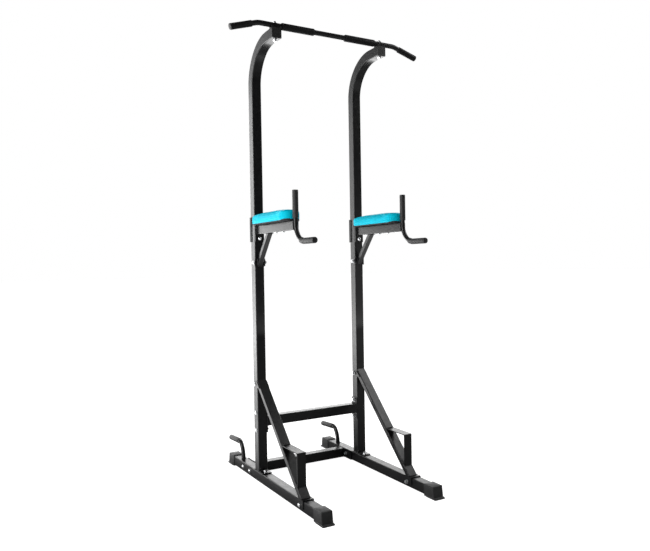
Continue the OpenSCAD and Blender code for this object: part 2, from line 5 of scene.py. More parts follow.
import bpy
import numpy as np
from bpy.props import FloatProperty, FloatVectorProperty, IntProperty, PointerProperty
from mathutils import Matrix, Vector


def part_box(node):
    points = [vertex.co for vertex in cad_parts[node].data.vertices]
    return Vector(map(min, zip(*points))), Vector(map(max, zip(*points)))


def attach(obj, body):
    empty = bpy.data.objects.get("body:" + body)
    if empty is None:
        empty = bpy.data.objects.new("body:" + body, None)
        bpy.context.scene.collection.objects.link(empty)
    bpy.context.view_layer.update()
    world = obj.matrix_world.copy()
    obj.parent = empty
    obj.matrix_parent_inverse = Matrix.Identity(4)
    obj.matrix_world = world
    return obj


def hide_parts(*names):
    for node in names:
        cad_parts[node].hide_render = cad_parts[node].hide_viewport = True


bl_info = {
    "name": "Power Tower Maker",
    "version": (1, 0, 0),
    "blender": (4, 5, 0),
    "location": "3D View > Sidebar > Tower",
    "description": "Builds the grips, pads, feet, welds and finishes of a power tower",
    "category": "Object",
}

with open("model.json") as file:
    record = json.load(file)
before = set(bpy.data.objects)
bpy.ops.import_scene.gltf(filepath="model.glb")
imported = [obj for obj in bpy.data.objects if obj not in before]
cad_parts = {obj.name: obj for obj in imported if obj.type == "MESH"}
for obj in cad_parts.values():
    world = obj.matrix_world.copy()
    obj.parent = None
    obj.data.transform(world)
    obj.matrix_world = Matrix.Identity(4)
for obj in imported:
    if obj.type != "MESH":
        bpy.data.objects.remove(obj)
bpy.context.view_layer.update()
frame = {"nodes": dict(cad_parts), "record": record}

MM = 0.001
SIDES = ("left", "right")
BAR_R = 0.0125
HANDLE_R = 0.011
SLEEVE_BORE = 0.0112
SLEEVE_R = 0.014
SLEEVE_LENGTH = 0.125
BAR_BORE = 0.0127
INNER_SLEEVE_R = 0.017
OUTER_SLEEVE_R = 0.015
OUTER_SLEEVE_LENGTH = 0.112
CAP_DEPTH = 0.003
ARC_STEPS = 6


def corners_of(node):
    """Lowest and highest corner of a frame part's box, in metres."""
    low, high = (np.array(c, dtype=float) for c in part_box(node))
    return low, high


def middle(node):
    """Centre of a frame part's box, in metres."""
    low, high = corners_of(node)
    return (low + high) / 2


UPRIGHT = {side: middle("lower_upright_" + side) for side in SIDES}
BACK = float(UPRIGHT["left"][1])
RAIL_TOP = float(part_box("base_rail_left")[1][2])


# ---- surfaces ----

def unit(v):
    """The vector divided by its length."""
    v = np.asarray(v, dtype=float)
    return v / np.linalg.norm(v, axis=-1, keepdims=True)


def surface(points, wrap_u=False):
    """A grid of points turned into closed faces: each quad joins a point to its
    neighbours along u and round v, v always wraps, and either u wraps too or a fan
    to the mean of the first and of the last ring closes the two ends."""
    nu, nv = points.shape[:2]
    verts = points.reshape(-1, 3)
    i = np.arange(nu if wrap_u else nu - 1)[:, None]
    j = np.arange(nv)[None, :]
    a = i * nv + j
    b = ((i + 1) % nu) * nv + j
    c = ((i + 1) % nu) * nv + (j + 1) % nv
    d = i * nv + (j + 1) % nv
    tris = np.concatenate([np.stack([a, b, c], -1).reshape(-1, 3),
                           np.stack([a, c, d], -1).reshape(-1, 3)])
    faces = np.stack([a, b, c, d], -1).reshape(-1, 4)
    fans = np.zeros((0, 3), dtype=int)
    if not wrap_u:
        first, last = len(verts), len(verts) + 1
        verts = np.vstack([verts, points[0].mean(0), points[-1].mean(0)])
        k = np.arange(nv)
        n = (k + 1) % nv
        end = (nu - 1) * nv
        fans = np.vstack([np.stack([k, n, np.full(nv, first)], -1),
                          np.stack([end + n, end + k, np.full(nv, last)], -1)])
        tris = np.vstack([tris, fans])
    p = verts - verts.mean(0)
    volume = np.einsum("ij,ij->i", p[tris[:, 0]], np.cross(p[tris[:, 1]], p[tris[:, 2]])).sum()
    if volume < 0:
        faces, fans = faces[:, ::-1], fans[:, ::-1]
    return verts, faces, fans


def make_piece(name, parts, smooth_angle=40.0):
    """One object made of several closed surfaces, its origin at the frame's origin."""
    verts, faces, start = [], [], 0
    for v, quads, fans in parts:
        verts.append(v)
        faces += (quads + start).tolist() + (fans + start).tolist()
        start += len(v)
    mesh = bpy.data.meshes.new(name)
    mesh.from_pydata(np.vstack(verts).tolist(), [], faces)
    mesh.polygons.foreach_set("use_smooth", np.ones(len(mesh.polygons), dtype=bool))
    mesh.set_sharp_from_angle(angle=math.radians(smooth_angle))
    mesh.update()
    piece = bpy.data.objects.new(name, mesh)
    bpy.context.scene.collection.objects.link(piece)
    return piece


def bent_line(corners, radii, turn):
    """Points along straight lines between the corners, each corner rounded by an arc:
    start + r sin(t) along + r (1 - cos(t)) inward, for t from 0 to the bend's angle."""
    corners = [np.asarray(c, dtype=float) for c in corners]
    pieces = [corners[0][None]]
    for before, at, after, r in zip(corners, corners[1:], corners[2:], radii):
        along, onward = unit(at - before), unit(after - at)
        bend = math.acos(float(np.clip(along @ onward, -1, 1)))
        inward = unit(onward - along * math.cos(bend))
        start = at - along * r * math.tan(bend / 2)
        t = np.linspace(0, bend, max(3, int(math.degrees(bend) / turn) + 2))[:, None]
        pieces.append(start + r * np.sin(t) * along + r * (1 - np.cos(t)) * inward)
    pieces.append(corners[-1][None])
    return np.vstack(pieces)


def carry_ring(path, side, radius, count, loop=False):
    """A ring of the given radius carried along a flat path: each point is the path's
    point plus r cos(v) sideways plus r sin(v) across, across = tangent x sideways."""
    side = np.asarray(side, dtype=float)
    if loop:
        tangent = np.roll(path, -1, 0) - np.roll(path, 1, 0)
    else:
        tangent = np.gradient(path, axis=0)
    across = np.cross(unit(tangent), side)
    v = np.linspace(0, 2 * np.pi, count, endpoint=False)
    r = np.broadcast_to(np.asarray(radius, dtype=float), (len(path),))[:, None, None]
    return (path[:, None] + r * (np.cos(v)[None, :, None] * side
                                 + np.sin(v)[None, :, None] * across[:, None]))


def turned(base, axis, along, radius, count):
    """A surface of revolution: base + axis times along(u) + radius(u) times
    (cos(v), sin(v)) across the axis."""
    axis = unit(axis)
    helper = np.array([1.0, 0, 0]) if abs(axis[0]) < 0.7 else np.array([0, 1.0, 0])
    e1 = unit(np.cross(axis, helper))
    e2 = np.cross(axis, e1)
    v = np.linspace(0, 2 * np.pi, count, endpoint=False)
    along, radius = np.asarray(along, dtype=float), np.asarray(radius, dtype=float)
    spokes = np.cos(v)[:, None] * e1 + np.sin(v)[:, None] * e2
    return base + along[:, None, None] * axis + radius[:, None, None] * spokes[None]


def corner_arc(r):
    """A quarter circle as (r (1 - cos t), r (1 - sin t)) pairs for t from 0 to 90 degrees."""
    t = np.linspace(0, np.pi / 2, ARC_STEPS)
    return r * (1 - np.cos(t)), r * (1 - np.sin(t))


def rounded_plan(x0, x1, y0, y1, r, per_corner=8):
    """A rectangle in X and Y with quarter circles of radius r at its corners, as a ring."""
    t = np.linspace(0, np.pi / 2, per_corner)
    ring = []
    for cx, cy, turn in ((x1 - r, y1 - r, 0), (x0 + r, y1 - r, 1),
                         (x0 + r, y0 + r, 2), (x1 - r, y0 + r, 3)):
        a = t + turn * np.pi / 2
        ring.append(np.stack([cx + r * np.cos(a), cy + r * np.sin(a)], -1))
    return np.vstack(ring)


def stacked(levels):
    """Rounded rectangles stacked along Z: one ring for each (z, x0, x1, y0, y1, r)."""
    rings = [np.column_stack([rounded_plan(x0, x1, y0, y1, r), np.full(32, z)])
             for z, x0, x1, y0, y1, r in levels]
    return np.stack(rings)


# ---- finishes ----

def new_finish(name):
    """A material with its Principled shader and object coordinates ready."""
    mat = bpy.data.materials.new(name)
    mat.use_nodes = True
    tree = mat.node_tree
    shader = next(n for n in tree.nodes if n.type == "BSDF_PRINCIPLED")
    coords = tree.nodes.new("ShaderNodeTexCoord").outputs["Object"]
    return mat, tree, shader, coords


def noise(tree, coords, scale, detail=2.0, roughness=0.5):
    """Fractal noise read at the coordinates, scale in cells per metre."""
    node = tree.nodes.new("ShaderNodeTexNoise")
    node.inputs["Scale"].default_value = scale
    node.inputs["Detail"].default_value = detail
    node.inputs["Roughness"].default_value = roughness
    tree.links.new(coords, node.inputs["Vector"])
    return node.outputs["Fac"]


def span(tree, value, low, high, start=0.3, stop=0.7):
    """The value's range start..stop spread over low..high."""
    node = tree.nodes.new("ShaderNodeMapRange")
    for key, number in (("From Min", start), ("From Max", stop), ("To Min", low), ("To Max", high)):
        node.inputs[key].default_value = number
    tree.links.new(value, node.inputs["Value"])
    return node.outputs["Result"]


def between(tree, value, dark, light):
    """A colour ramp between two colours, driven by the value."""
    node = tree.nodes.new("ShaderNodeValToRGB")
    node.color_ramp.elements[0].position = 0.3
    node.color_ramp.elements[1].position = 0.7
    node.color_ramp.elements[0].color = (*dark, 1)
    node.color_ramp.elements[1].color = (*light, 1)
    tree.links.new(value, node.inputs["Fac"])
    return node.outputs["Color"]


def raised(tree, value, depth, strength, normal=None):
    """A bump of the given depth in metres."""
    node = tree.nodes.new("ShaderNodeBump")
    node.inputs["Distance"].default_value = depth
    node.inputs["Strength"].default_value = strength
    tree.links.new(value, node.inputs["Height"])
    if normal is not None:
        tree.links.new(normal, node.inputs["Normal"])
    return node.outputs["Normal"]


def shade(colour, factor):
    """The colour made lighter or darker."""
    return tuple(min(1.0, c * factor) for c in colour)


def powder_coat(colour, name="black_powder_coat", gloss=(0.28, 0.36)):
    """Black powder coat: a fine pebbled skin over slow changes of gloss, with edges
    softened as the coat flows round them."""
    mat, tree, shader, coords = new_finish(name)
    link = tree.links.new
    link(between(tree, noise(tree, coords, 14, 3), shade(colour, 0.8), shade(colour, 1.35)),
         shader.inputs["Base Color"])
    link(span(tree, noise(tree, coords, 45, 4), *gloss), shader.inputs["Roughness"])
    edge = tree.nodes.new("ShaderNodeBevel")
    edge.samples = 4
    edge.inputs["Radius"].default_value = 0.0011
    waves = raised(tree, noise(tree, coords, 260, 1), 0.0003, 0.05, edge.outputs["Normal"])
    link(raised(tree, noise(tree, coords, 1500, 2), 0.00016, 0.28, waves), shader.inputs["Normal"])
    shader.inputs["Specular IOR Level"].default_value = 0.30
    return mat


def dull_coat(colour):
    """The flat black of the pressed clamps, with less gloss than the tubes."""
    return powder_coat(colour, "dull_powder_coat", (0.62, 0.74))


def foam_rubber(colour, name="grip_foam", shine=0.40):
    """Closed-cell foam: dense fine pits, a little cloudiness and a dull sheen."""
    mat, tree, shader, coords = new_finish(name)
    link = tree.links.new
    link(between(tree, noise(tree, coords, 90, 4), shade(colour, 0.75), shade(colour, 1.4)),
         shader.inputs["Base Color"])
    link(span(tree, noise(tree, coords, 400, 3), 0.48, 0.66), shader.inputs["Roughness"])
    cells = tree.nodes.new("ShaderNodeTexVoronoi")
    cells.inputs["Scale"].default_value = 1700
    link(coords, cells.inputs["Vector"])
    soft = raised(tree, noise(tree, coords, 220, 2), 0.0004, 0.12)
    link(raised(tree, cells.outputs["Distance"], 0.00025, 0.35, soft), shader.inputs["Normal"])
    shader.inputs["Specular IOR Level"].default_value = shine
    return mat


def shaded_bar_foam(colour):
    """The grip foam for the pull-up bar's grips, with less gloss and its colour halved as painted
    shade.
    """
    # the halved colour is painted shade: the same foam as the other grips, darkened for grips seen
    # from below
    return foam_rubber(shade(colour, 0.5), "bar_grip_foam_painted_shade", 0.15)


def moulded_rubber(colour):
    """Moulded rubber: an even sand-like grain with dusty lighter patches."""
    mat, tree, shader, coords = new_finish("moulded_rubber")
    link = tree.links.new
    link(between(tree, noise(tree, coords, 35, 5, 0.6), shade(colour, 0.85), shade(colour, 1.5)),
         shader.inputs["Base Color"])
    link(span(tree, noise(tree, coords, 120, 3), 0.50, 0.64), shader.inputs["Roughness"])
    link(raised(tree, noise(tree, coords, 2200, 3), 0.00022, 0.40), shader.inputs["Normal"])
    return mat


def end_plastic(colour):
    """Satin plastic of the end caps: faint moulding swirls and fine scratches."""
    mat, tree, shader, coords = new_finish("end_cap_plastic")
    link = tree.links.new
    link(between(tree, noise(tree, coords, 60, 3), shade(colour, 0.85), shade(colour, 1.3)),
         shader.inputs["Base Color"])
    link(span(tree, noise(tree, coords, 700, 2), 0.38, 0.50), shader.inputs["Roughness"])
    link(raised(tree, noise(tree, coords, 1300, 2), 0.00012, 0.20), shader.inputs["Normal"])
    return mat


def stretched_vinyl(colour):
    """Upholstery vinyl: leather-like cells with creases between them, a soft satin
    gloss, and tone that drifts slowly over the pad."""
    mat, tree, shader, coords = new_finish("pad_vinyl")
    link = tree.links.new
    link(between(tree, noise(tree, coords, 22, 4), shade(colour, 0.93), shade(colour, 1.06)),
         shader.inputs["Base Color"])
    link(span(tree, noise(tree, coords, 180, 3), 0.50, 0.62), shader.inputs["Roughness"])
    cells = tree.nodes.new("ShaderNodeTexVoronoi")
    cells.feature = "DISTANCE_TO_EDGE"
    cells.inputs["Scale"].default_value = 620
    link(coords, cells.inputs["Vector"])
    grain = raised(tree, span(tree, cells.outputs["Distance"], 0.0, 1.0, 0.0, 0.12),
                   0.00018, 0.45)
    link(raised(tree, noise(tree, coords, 70, 3), 0.0008, 0.10, grain), shader.inputs["Normal"])
    shader.inputs["Specular IOR Level"].default_value = 0.04
    return mat


def pad_board_skin(colour):
    """The dark backing cloth stapled over a pad's board: a fine crossed weave."""
    mat, tree, shader, coords = new_finish("pad_board_skin")
    link = tree.links.new
    link(between(tree, noise(tree, coords, 300, 3), shade(colour, 0.7), shade(colour, 1.4)),
         shader.inputs["Base Color"])
    heights = []
    for axis in ("X", "Y"):
        wave = tree.nodes.new("ShaderNodeTexWave")
        wave.bands_direction = axis
        wave.inputs["Scale"].default_value = 420
        wave.inputs["Distortion"].default_value = 0.6
        link(coords, wave.inputs["Vector"])
        heights.append(wave.outputs["Fac"])
    crossed = tree.nodes.new("ShaderNodeMath")
    crossed.operation = "MAXIMUM"
    link(heights[0], crossed.inputs[0])
    link(heights[1], crossed.inputs[1])
    link(raised(tree, crossed.outputs[0], 0.0002, 0.5), shader.inputs["Normal"])
    shader.inputs["Roughness"].default_value = 0.8
    return mat


def bright_zinc(colour):
    """Bright zinc plate: metal with a faint grain and small changes of polish."""
    mat, tree, shader, coords = new_finish("bright_zinc")
    link = tree.links.new
    link(between(tree, noise(tree, coords, 160, 4), shade(colour, 0.82), shade(colour, 1.08)),
         shader.inputs["Base Color"])
    link(span(tree, noise(tree, coords, 500, 3), 0.18, 0.34), shader.inputs["Roughness"])
    link(raised(tree, noise(tree, coords, 1800, 2), 0.0001, 0.18), shader.inputs["Normal"])
    shader.inputs["Metallic"].default_value = 1.0
    return mat


def studio_paper(name, tone, glow):
    """Matt pale paper for the studio floor, with a glow that lifts it to the tone of
    the room behind, so that no horizon shows."""
    mat, tree, shader, coords = new_finish(name)
    tree.links.new(between(tree, noise(tree, coords, 3, 2), (tone,) * 3, (tone + 0.01,) * 3),
                   shader.inputs["Base Color"])
    shader.inputs["Roughness"].default_value = 0.9
    shader.inputs["Specular IOR Level"].default_value = 0.0
    shader.inputs["Emission Color"].default_value = (1, 1, 1, 1)
    shader.inputs["Emission Strength"].default_value = glow
    return mat


def bounce_glow(paper):
    """Light cards lying on the floor, for the reflections only: one to the left of the
    tower that grows brighter towards the back, and one far behind it."""
    tree = paper.node_tree
    shader = next(n for n in tree.nodes if n.type == "BSDF_PRINCIPLED")
    places = tree.nodes.new("ShaderNodeSeparateXYZ")
    tree.links.new(tree.nodes.new("ShaderNodeTexCoord").outputs["Object"], places.inputs[0])
    cards = []
    for axis, start, stop, low, high in (("X", -0.37, -0.55, 0.0, 1.0), ("Y", 0.1, 1.3, 1.2, 2.8),
                                         ("Y", 2.6, 4.8, 0.0, 4.5)):
        card = span(tree, places.outputs[axis], low, high, start, stop)
        card.node.interpolation_type = "SMOOTHSTEP"
        cards.append(card)
    total = tree.nodes.new("ShaderNodeMath")
    total.operation = "MULTIPLY_ADD"
    for card, socket in zip(cards, total.inputs):
        tree.links.new(card, socket)
    tree.links.new(total.outputs[0], shader.inputs["Emission Strength"])
    return paper


def studio_floor(name, size, height, paper, seen):
    """A square of paper that either the camera sees or, if not, only the reflections
    and the bounced light do."""
    edge = np.array([[-1, -1, 0], [1, -1, 0], [1, 1, 0], [-1, 1, 0]], dtype=float) * size
    edge[:, 2] = height
    mesh = bpy.data.meshes.new(name)
    mesh.from_pydata(edge.tolist(), [], [(0, 1, 2, 3)])
    mesh.materials.append(paper)
    floor = bpy.data.objects.new(name, mesh)
    bpy.context.scene.collection.objects.link(floor)
    floor.visible_camera = seen
    floor.visible_glossy = floor.visible_diffuse = floor.visible_shadow = not seen


FINISHES = {}


def finish(name):
    """The named finish, made once from the colours in the sidebar."""
    looks = bpy.context.scene.tower_looks
    makers = {
        "frame": (powder_coat, looks.coat_colour),
        "clamp": (dull_coat, looks.coat_colour),
        "grip_foam": (foam_rubber, looks.foam_colour),
        # the bar grips' foam: the grip foam with painted shade in its colour
        "shaded_bar_foam": (shaded_bar_foam, looks.foam_colour),
        "foot_rubber": (moulded_rubber, looks.rubber_colour),
        "plug": (end_plastic, looks.plug_colour),
        "pad_vinyl": (stretched_vinyl, looks.vinyl_colour),
        "pad_board": (pad_board_skin, looks.board_colour),
        "fastener": (bright_zinc, looks.zinc_colour),
    }
    if name not in FINISHES:
        maker, colour = makers[name]
        FINISHES[name] = maker(tuple(colour))
    return FINISHES[name]


def dress(piece, slot, *nodes, look=None):
    """Gives a new piece the finish of its look or slot and its body, and hides the parts it stands
    for.
    """
    piece.data.materials.clear()
    piece.data.materials.append(finish(look or slot))
    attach(piece, "root")
    if nodes:
        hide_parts(*nodes)


# ---- settings ----

class TowerSizes(bpy.types.PropertyGroup):
    """Sizes of the pieces made here."""
    bar_drop: FloatProperty(
        name="Bar end drop", description="Downward tilt of the bar's outer ends",
        default=math.radians(17.0), subtype="ANGLE")
    bar_bend: FloatProperty(
        name="Bar bend radius", description="Centre-line radius where the bar's ends turn down",
        default=0.10, unit="LENGTH")
    dip_bend: FloatProperty(
        name="Dip handle bend", description="Centre-line radius of the dip handles' bends",
        default=0.085, unit="LENGTH")
    edge_round: FloatProperty(
        name="Grip edge", description="Rounding at the ends of the foam grips",
        default=0.0016, unit="LENGTH")
    weld_size: FloatProperty(
        name="Weld size", description="Radius of the weld beads", default=0.0021, unit="LENGTH")
    weld_pitch: FloatProperty(
        name="Weld ripple", description="Distance between the ripples of a weld",
        default=0.0036, unit="LENGTH")
    pad_swell: FloatProperty(
        name="Pad swell", description="Most that a pad's skin may move outward",
        default=0.007, unit="LENGTH")
    ring_points: IntProperty(
        name="Ring points", description="Points round every tube and grip", default=48, min=12)


class TowerLooks(bpy.types.PropertyGroup):
    """Colours of the finishes."""
    coat_colour: FloatVectorProperty(
        name="Powder coat", description="Colour of the coated steel",
        default=(0.0040, 0.0040, 0.0043), subtype="COLOR")
    foam_colour: FloatVectorProperty(
        name="Foam", description="Colour of the grips",
        default=(0.0085, 0.0085, 0.009), subtype="COLOR")
    rubber_colour: FloatVectorProperty(
        name="Rubber", description="Colour of the feet",
        default=(0.010, 0.010, 0.0105), subtype="COLOR")
    plug_colour: FloatVectorProperty(
        name="End caps", description="Colour of the tube end caps",
        default=(0.004, 0.004, 0.0043), subtype="COLOR")
    vinyl_colour: FloatVectorProperty(
        name="Vinyl", description="Colour of the pads' vinyl",
        default=(0.0, 0.40, 0.53), subtype="COLOR")
    board_colour: FloatVectorProperty(
        name="Board cloth", description="Colour of the cloth under the pads",
        default=(0.004, 0.0045, 0.006), subtype="COLOR")
    zinc_colour: FloatVectorProperty(
        name="Zinc", description="Colour of the bolts",
        default=(0.80, 0.81, 0.82), subtype="COLOR")


# ---- pieces ----

def grip_sleeve(base, axis, length, inner, outer, edge, count):
    """A sleeve as a closed ring section turned about its axis: out along the inner
    wall's end, round the outer corners, and back along the bore."""
    drop, back = corner_arc(edge)
    along = np.concatenate([[0.0], back[::-1], length - back, [length]])
    radius = np.concatenate([[inner], outer - drop[::-1], outer - drop, [inner]])
    return surface(turned(base, axis, along, radius, count), wrap_u=True)


def bent_sleeve(path, side, inner, outer, edge, count):
    """A sleeve carried along a bent line: an outer skin whose radius follows a quarter
    circle at each end, and a bore carried back along the same line."""
    steps = np.linalg.norm(np.diff(path, axis=0), axis=1)
    walked = np.concatenate([[0], np.cumsum(steps)])
    drop, back = corner_arc(edge)
    s = np.concatenate([back[::-1], walked[(walked > edge) & (walked < walked[-1] - edge)],
                        walked[-1] - back])
    r = np.concatenate([outer - drop[::-1], np.full(len(s) - 2 * ARC_STEPS, outer), outer - drop])
    r = np.concatenate([[inner], r, [inner], np.full(len(r), inner)])
    s = np.concatenate([[0], s, [walked[-1]], s[::-1]])
    points = np.column_stack([np.interp(s, walked, path[:, k]) for k in range(3)])
    tangent = unit(np.gradient(path, axis=0))
    along = unit(np.column_stack([np.interp(s, walked, tangent[:, k]) for k in range(3)]))
    across = np.cross(along, side)
    v = np.linspace(0, 2 * np.pi, count, endpoint=False)
    rings = points[:, None] + r[:, None, None] * (np.cos(v)[None, :, None] * np.asarray(side)
                                                  + np.sin(v)[None, :, None] * across[:, None])
    return surface(rings, wrap_u=True)


def dip_line(side):
    """Centre line of a dip grip: the end of the handle's bend, then straight forward."""
    low, high = corners_of("dip_grip_" + side)
    x, y_tip, z = (low[0] + high[0]) / 2, low[1], low[2] + SLEEVE_R
    upright_y = middle("upright_grip_" + side)[1]
    bend = bpy.context.scene.tower_sizes.dip_bend
    straight = upright_y - bend - y_tip
    turn = (SLEEVE_LENGTH - straight) / bend
    t = np.linspace(turn, 0, 10)
    ys = np.concatenate([upright_y - bend + bend * np.sin(t), [y_tip]])
    zs = np.concatenate([z + bend * (1 - np.cos(t)), [z]])
    return np.column_stack([np.full(len(ys), x), ys, zs])


def end_cap(base, axis, radius, depth, count):
    """A cap turned about its axis: a short skirt, a rounded rim and a face that
    swells towards its middle as a shallow parabola."""
    u = np.linspace(0, 1, 9)
    rim_drop, rim_back = corner_arc(depth * 0.5)
    face = (radius - depth * 0.5) * (1 - u)
    along = np.concatenate([[-0.004, -0.004, 0.0], (depth * 0.75 - rim_back)[:-1],
                            depth * 0.75 + depth * 0.25 * (1 - (1 - u) ** 2)])
    rim = np.concatenate([[radius * 0.6, radius - 0.0012, radius - 0.0002],
                          (radius - 0.0002 - rim_drop)[:-1], face[:-1], [radius * 0.02]])
    return surface(turned(base, axis, along, rim, count))


def across_box(node, axis):
    """Start, direction and length of a straight sleeve along an axis of the frame."""
    low, high = corners_of(node)
    centre = (low + high) / 2
    start = centre.copy()
    start[axis] = low[axis]
    return start, high[axis] - low[axis]


def bar_line():
    """Centre line of the pull-up bar from its left tip to its right tip."""
    sizes = bpy.context.scene.tower_sizes
    low, high = corners_of("inner_grip_left")
    y, z = (low[1] + high[1]) / 2, (low[2] + high[2]) / 2
    bend_x, reach = 0.388, 0.1460
    tip = np.array([bend_x + reach * math.cos(sizes.bar_drop), y,
                    z - reach * math.sin(sizes.bar_drop)])
    flip = np.array([-1, 1, 1])
    corners = [tip * flip, np.array([-bend_x, y, z]), np.array([bend_x, y, z]), tip]
    return corners, [sizes.bar_bend, sizes.bar_bend]


def rear_line(side):
    """Centre line of a rear handle: up from the rail, back in a wide arc, then a
    tighter bend into the drooping grip."""
    x = UPRIGHT[side][0]
    lean, droop = math.radians(42), math.radians(3)
    r1, r2, gap = 0.108, 0.028, 0.0035
    t = np.linspace(0, lean, 12)
    foot = 0.240
    y = foot + r1 * (1 - np.cos(t))
    z = RAIL_TOP + 0.005 + r1 * np.sin(t)
    t2 = np.linspace(lean, math.pi / 2 + droop, 12)[1:]
    y2 = y[-1] + r2 * (math.cos(lean) - np.cos(t2))
    z2 = z[-1] + r2 * (np.sin(t2) - math.sin(lean))
    out = np.array([math.cos(droop), -math.sin(droop)])
    end = np.array([y2[-1], z2[-1]]) + out * (SLEEVE_LENGTH + gap)
    ys = np.concatenate([[foot], y, y2, [end[0]]]) + BACK
    zs = np.concatenate([[RAIL_TOP - 0.001], z, z2, [end[1]]])
    path = np.column_stack([np.full(len(ys), x), ys, zs])
    return path, np.array([0.0, out[0], out[1]])


class TOWER_OT_pull_up_bar(bpy.types.Operator):
    """Bend the pull-up bar as one tube with smooth turns to its outer ends"""
    bl_idname = "tower.pull_up_bar"
    bl_label = "Pull-up bar"

    def execute(self, context):
        sizes = context.scene.tower_sizes
        corners, radii = bar_line()
        tube = carry_ring(bent_line(corners, radii, 1.5), (0, 1, 0), BAR_R, sizes.ring_points)
        piece = make_piece("pull_up_bar_tube", [surface(tube)])
        dress(piece, "frame", "pull_up_bar")
        return {"FINISHED"}


class TOWER_OT_rear_handles(bpy.types.Operator):
    """Bend the two push-up handles behind the tower"""
    bl_idname = "tower.rear_handles"
    bl_label = "Rear handles"

    def execute(self, context):
        count = context.scene.tower_sizes.ring_points
        for side in SIDES:
            path, _ = rear_line(side)
            tube = carry_ring(path, (1, 0, 0), HANDLE_R, count)
            piece = make_piece("rear_handle_tube_" + side, [surface(tube)])
            dress(piece, "frame", "rear_handle_" + side)
        return {"FINISHED"}


class TOWER_OT_grips(bpy.types.Operator):
    """Slide foam grips on the bar, the dip handles and the rear handles"""
    bl_idname = "tower.grips"
    bl_label = "Foam grips"

    def execute(self, context):
        sizes = context.scene.tower_sizes
        edge, count = sizes.edge_round, sizes.ring_points
        for side in SIDES:
            for kind, axis, inner, outer in (("upright_grip_", 2, SLEEVE_BORE, SLEEVE_R),
                                             ("inner_grip_", 0, BAR_BORE, INNER_SLEEVE_R)):
                start, length = across_box(kind + side, axis)
                part = grip_sleeve(start, np.eye(3)[axis], length, inner, outer, edge, count)
                # the bar's inner grips take the foam copy whose halved colour is painted shade
                dress(make_piece(kind + side + "_foam", [part]), "grip_foam", kind + side,
                      look="shaded_bar_foam" if axis == 0 else None)
            part = bent_sleeve(dip_line(side), (1, 0, 0), SLEEVE_BORE, SLEEVE_R, edge, count)
            dress(make_piece("dip_grip_" + side + "_foam", [part]), "grip_foam",
                  "dip_grip_" + side)
            path, out = rear_line(side)
            part = grip_sleeve(path[-1] - out * SLEEVE_LENGTH, out, SLEEVE_LENGTH, SLEEVE_BORE,
                               SLEEVE_R, edge, count)
            dress(make_piece("rear_grip_" + side + "_foam", [part]), "grip_foam",
                  "rear_grip_" + side)
            corners, _ = bar_line()
            tip = corners[0 if side == "left" else 3]
            inward = unit(corners[1 if side == "left" else 2] - tip)
            part = grip_sleeve(tip, inward, OUTER_SLEEVE_LENGTH, BAR_BORE, OUTER_SLEEVE_R,
                               edge, count)
            # the bar's outer grips take the foam copy whose halved colour is painted shade
            dress(make_piece("outer_grip_" + side + "_foam", [part]), "grip_foam",
                  "outer_grip_" + side, look="shaded_bar_foam")
        return {"FINISHED"}


class TOWER_OT_end_caps(bpy.types.Operator):
    """Press caps into the ends of the bar and of the handles"""
    bl_idname = "tower.end_caps"
    bl_label = "End caps"

    def execute(self, context):
        count = context.scene.tower_sizes.ring_points
        parts = []
        for side in SIDES:
            start, length = across_box("upright_grip_" + side, 2)
            top = start + [0, 0, length]
            parts.append(end_cap(top, (0, 0, 1), SLEEVE_R, CAP_DEPTH, count))
            parts.append(end_cap(dip_line(side)[-1], (0, -1, 0), SLEEVE_R, CAP_DEPTH, count))
            path, out = rear_line(side)
            parts.append(end_cap(path[-1], out, SLEEVE_R, CAP_DEPTH, count))
            corners, _ = bar_line()
            tip = corners[0 if side == "left" else 3]
            out = unit(tip - corners[1 if side == "left" else 2])
            parts.append(end_cap(tip, out, OUTER_SLEEVE_R, CAP_DEPTH, count))
        dress(make_piece("end_caps", parts), "plug", "handle_plugs")
        return {"FINISHED"}


class TOWER_OT_feet(bpy.types.Operator):
    """Mould the four rubber feet round the ends of the base rails"""
    bl_idname = "tower.feet"
    bl_label = "Rubber feet"

    def execute(self, context):
        for side in SIDES:
            for end in ("front", "rear"):
                node = end + "_foot_" + side
                low, high = corners_of(node)
                x = (low[0] + high[0]) / 2
                out = -1 if end == "front" else 1
                toe = low[1] if end == "front" else high[1]
                dress(make_piece(node + "_rubber", self.parts(x, toe, out)), "foot_rubber", node)
        return {"FINISHED"}

    @staticmethod
    def parts(x, toe, out):
        """The raked body and the flared rim, each stacked from rounded rectangles
        whose outer edge steps back with height."""
        def level(z, half, back, front, r):
            ys = sorted((toe - out * back, toe - out * front))
            return (z * MM, x - half * MM, x + half * MM, ys[0], ys[1], r * MM)

        def body(z, inset=0.0):
            return level(z, 29 - inset, 0.089 - inset * MM, 0.011 + 0.008 * z / 59
                         + inset * MM, 4.5)

        body_levels = [body(0.6, 1.0), body(1.0), body(20), body(40), body(55.5),
                       body(57.4, 0.45), body(58.5, 1.3), body(59.0, 2.6)]
        rim_levels = [level(0.0, 29.6, 0.0740, 0.0014, 5.5), level(0.5, 30.6, 0.0748, 0.0004, 6),
                      level(1.4, 31.0, 0.0750, 0.0, 6), level(4.4, 31.0, 0.0750, 0.0, 6),
                      level(5.5, 30.7, 0.0748, 0.0004, 6), level(6.2, 29.9, 0.0742, 0.0016, 6),
                      level(7.0, 29.2, 0.0738, 0.0060, 5), level(9.0, 28.8, 0.0736, 0.0105, 4)]
        return [surface(stacked(body_levels)), surface(stacked(rim_levels))]


